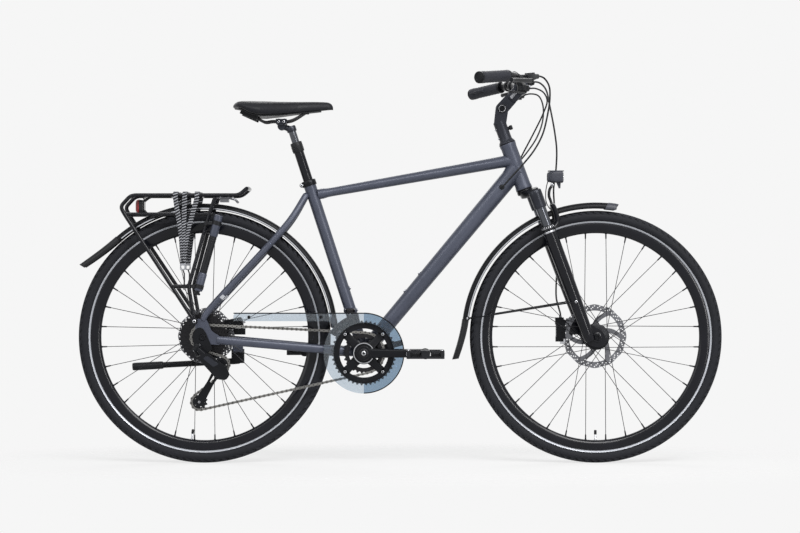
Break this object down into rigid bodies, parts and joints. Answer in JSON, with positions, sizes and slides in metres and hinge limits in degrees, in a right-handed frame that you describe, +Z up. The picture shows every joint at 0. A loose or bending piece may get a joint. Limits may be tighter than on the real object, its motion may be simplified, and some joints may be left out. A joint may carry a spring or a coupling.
{
  "type": "touring bicycle",
  "caption": "Diamond-frame touring bicycle with suspension fork, disc brakes, mudguards, luggage rack, lights, chain guard, derailleur gears and sprung seat post.",
  "frame": {"origin": "on the ground midway between the wheel axles, in the plane of the wheels", "axes": "+X forwards, +Y to the rider's left, +Z up"},
  "size_m": [1.8016, 0.6282, 1.084],
  "materials": {
    "frame_paint": "dark painted, satin gloss",
    "black_aluminium": "black anodised, satin",
    "dark_steel": "dark, satin",
    "bright_steel": "bright, brushed",
    "tyre_rubber": "matt black",
    "hose_rubber": "matt black",
    "grip_rubber": "matt, textured",
    "plastic": "matt black",
    "guard_plastic": "smoky, half clear",
    "saddle_cover": "matt black synthetic cover",
    "elastic": "woven, striped",
    "red_lens": "clear red"
  },
  "bodies": {
    "frame": {"main_frame": "frame_paint", "bottom_bracket": "dark_steel", "seat_clamp": "black_aluminium", "rear_mudguard": "plastic", "luggage_rack": "black_aluminium", "luggage_straps": "elastic", "tail_light": "red_lens", "rear_axle": "dark_steel", "rear_brake_caliper": "black_aluminium", "chain_guard": "guard_plastic", "chain": "dark_steel", "hand_pump": "black_aluminium", "rear_brake_hose": "hose_rubber", "rear_shift_cable": "hose_rubber", "front_shift_cable": "hose_rubber"},
    "stand": {"kickstand_leg": "black_aluminium"},
    "front_derailleur": {"front_derailleur_cage": "dark_steel"},
    "crankset": {"crank_right": "black_aluminium", "outer_chainring": "dark_steel", "inner_chainring": "dark_steel", "crank_left": "black_aluminium"},
    "right_pedal": {"pedal_right": "plastic"},
    "left_pedal": {"pedal_left": "plastic"},
    "sprockets": {"cassette": "bright_steel"},
    "rear_wheel": {"rear_hub": "black_aluminium", "rear_rim": "black_aluminium", "rear_tyre": "tyre_rubber", "rear_rotor": "bright_steel"},
    "derailleur_link": {"derailleur_body": "black_aluminium"},
    "derailleur_pivot": {"derailleur_knuckle": "black_aluminium"},
    "derailleur_arm": {"derailleur_cage": "dark_steel"},
    "guide_wheel": {"guide_pulley": "plastic"},
    "tension_wheel": {"tension_pulley": "plastic"},
    "seatpost": {"seatpost_tube": "black_aluminium"},
    "seat_shaft": {"seatpost_shaft": "black_aluminium"},
    "seat_clamp_head": {"saddle_clamp": "dark_steel"},
    "saddle": {"saddle_base": "plastic", "saddle_pad": "saddle_cover"},
    "steerer": {"fork_crown": "black_aluminium", "stem_base": "black_aluminium"},
    "bars": {"stem_arm": "black_aluminium", "handlebar": "black_aluminium", "grip_left": "grip_rubber", "grip_right": "grip_rubber", "control_left": "plastic", "control_right": "plastic"},
    "left_brake_lever": {"brake_lever_left": "black_aluminium"},
    "right_brake_lever": {"brake_lever_right": "black_aluminium"},
    "left_shift_lever": {"shift_lever_left": "plastic"},
    "right_shift_lever": {"shift_lever_right": "plastic"},
    "lowers": {"fork_lowers": "frame_paint", "front_mudguard": "plastic", "headlight": "plastic", "front_caliper": "black_aluminium", "front_axle": "dark_steel", "front_brake_hose": "hose_rubber"},
    "front_wheel": {"front_hub": "black_aluminium", "front_rim": "black_aluminium", "front_tyre": "tyre_rubber", "front_rotor": "bright_steel"}
  },
  "joints": [
    {"name": "steering", "type": "hinge", "parent": "frame", "child": "steerer", "pos_m": [0.34797, 0, 0.76552], "axis": [-0.3486, 0, 0.9373], "range_deg": [-60, 60], "deforming": ["rear_brake_hose", "rear_shift_cable", "front_shift_cable", "front_brake_hose"]},
    {"name": "stem_angle", "type": "hinge", "parent": "steerer", "child": "bars", "pos_m": [0.28502, 0, 0.99102], "axis": [0, 1, 0], "range_deg": [-20, 20]},
    {"name": "left_brake_pull", "type": "hinge", "parent": "bars", "child": "left_brake_lever", "pos_m": [0.35828, 0.16654, 1.05715], "axis": [0, 0, 1], "range_deg": [0, 11], "stiffness_Nm_per_rad": 1.5, "springref_deg": -5.73},
    {"name": "right_brake_pull", "type": "hinge", "parent": "bars", "child": "right_brake_lever", "pos_m": [0.35828, -0.16654, 1.05715], "axis": [0, 0, -1], "range_deg": [0, 11], "stiffness_Nm_per_rad": 1.5, "springref_deg": -5.73},
    {"name": "left_shift_push", "type": "hinge", "parent": "bars", "child": "left_shift_lever", "pos_m": [0.33828, 0.12854, 1.03915], "axis": [0, 0, -1], "range_deg": [0, 25], "stiffness_Nm_per_rad": 0.4, "springref_deg": -5.73},
    {"name": "right_shift_push", "type": "hinge", "parent": "bars", "child": "right_shift_lever", "pos_m": [0.33828, -0.12854, 1.03915], "axis": [0, 0, 1], "range_deg": [0, 25], "stiffness_Nm_per_rad": 0.4, "springref_deg": -5.73},
    {"name": "fork_travel", "type": "slide", "parent": "steerer", "child": "lowers", "axis": [-0.3486, 0, 0.9373], "range_m": [0, 0.05], "stiffness_N_per_m": 10000, "springref_m": -0.015},
    {"name": "front_wheel_spin", "type": "hinge", "parent": "lowers", "child": "front_wheel", "pos_m": [0.5478, 0, 0.353], "axis": [0, 1, 0], "continuous": true},
    {"name": "rear_wheel_spin", "type": "hinge", "parent": "frame", "child": "rear_wheel", "pos_m": [-0.5478, 0, 0.353], "axis": [0, 1, 0], "continuous": true},
    {"name": "crank_spin", "type": "hinge", "parent": "frame", "child": "crankset", "pos_m": [-0.10096, 0, 0.309], "axis": [0, 1, 0], "continuous": true},
    {"name": "right_pedal_spin", "type": "hinge", "parent": "crankset", "child": "right_pedal", "pos_m": [0.06904, -0.083, 0.309], "axis": [0, 1, 0], "continuous": true},
    {"name": "left_pedal_spin", "type": "hinge", "parent": "crankset", "child": "left_pedal", "pos_m": [-0.27096, 0.083, 0.309], "axis": [0, 1, 0], "continuous": true},
    {"name": "cassette_spin", "type": "hinge", "parent": "frame", "child": "sprockets", "pos_m": [-0.5478, 0, 0.353], "axis": [0, 1, 0], "continuous": true},
    {"name": "derailleur_shift", "type": "hinge", "parent": "frame", "child": "derailleur_link", "pos_m": [-0.5618, -0.092, 0.325], "axis": [0.7279, 0, 0.6857], "range_deg": [-7.6, 10.2], "deforming": ["chain"]},
    {"name": "derailleur_level", "type": "hinge", "parent": "derailleur_link", "child": "derailleur_pivot", "pos_m": [-0.4968, -0.092, 0.256], "axis": [0.7279, 0, 0.6857], "range_deg": [-10.2, 7.6]},
    {"name": "derailleur_tension", "type": "hinge", "parent": "derailleur_pivot", "child": "derailleur_arm", "pos_m": [-0.4968, -0.0498, 0.256], "axis": [0, 1, 0], "range_deg": [-20, 10], "stiffness_Nm_per_rad": 0.5},
    {"name": "guide_pulley_spin", "type": "hinge", "parent": "derailleur_arm", "child": "guide_wheel", "pos_m": [-0.4978, -0.0498, 0.277], "axis": [0, 1, 0], "continuous": true},
    {"name": "tension_pulley_spin", "type": "hinge", "parent": "derailleur_arm", "child": "tension_wheel", "pos_m": [-0.5588, -0.0498, 0.173], "axis": [0, 1, 0], "continuous": true},
    {"name": "front_derailleur_swing", "type": "hinge", "parent": "frame", "child": "front_derailleur", "pos_m": [-0.14009, -0.027, 0.429], "axis": [-1, 0, 0], "range_deg": [0, 7], "stiffness_Nm_per_rad": 2, "springref_deg": -5.73},
    {"name": "kickstand_fold", "type": "hinge", "parent": "frame", "child": "stand", "pos_m": [-0.4598, 0.08, 0.282], "axis": [0, -0.9239, -0.3827], "range_deg": [0, 93]},
    {"name": "seatpost_height", "type": "slide", "parent": "frame", "child": "seatpost", "axis": [-0.31, 0, 0.9507], "range_m": [-0.07, 0.1]},
    {"name": "seatpost_suspension", "type": "slide", "parent": "seatpost", "child": "seat_shaft", "axis": [0.31, 0, -0.9507], "range_m": [0, 0.03], "stiffness_N_per_m": 15000, "springref_m": -0.005},
    {"name": "saddle_tilt", "type": "hinge", "parent": "seat_shaft", "child": "seat_clamp_head", "pos_m": [-0.33237, 0, 0.942], "axis": [0, 1, 0], "range_deg": [-15, 15]},
    {"name": "saddle_fore_aft", "type": "slide", "parent": "seat_clamp_head", "child": "saddle", "axis": [1, 0, 0], "range_m": [-0.02, 0.02]}
  ],
  "couplings": [
    {"joint": "cassette_spin", "follows": "crank_spin", "ratio": 1.6471},
    {"joint": "guide_pulley_spin", "follows": "crank_spin", "ratio": -2.5455},
    {"joint": "tension_pulley_spin", "follows": "crank_spin", "ratio": 2.5455},
    {"joint": "derailleur_level", "follows": "derailleur_shift", "ratio": -1}
  ]
}
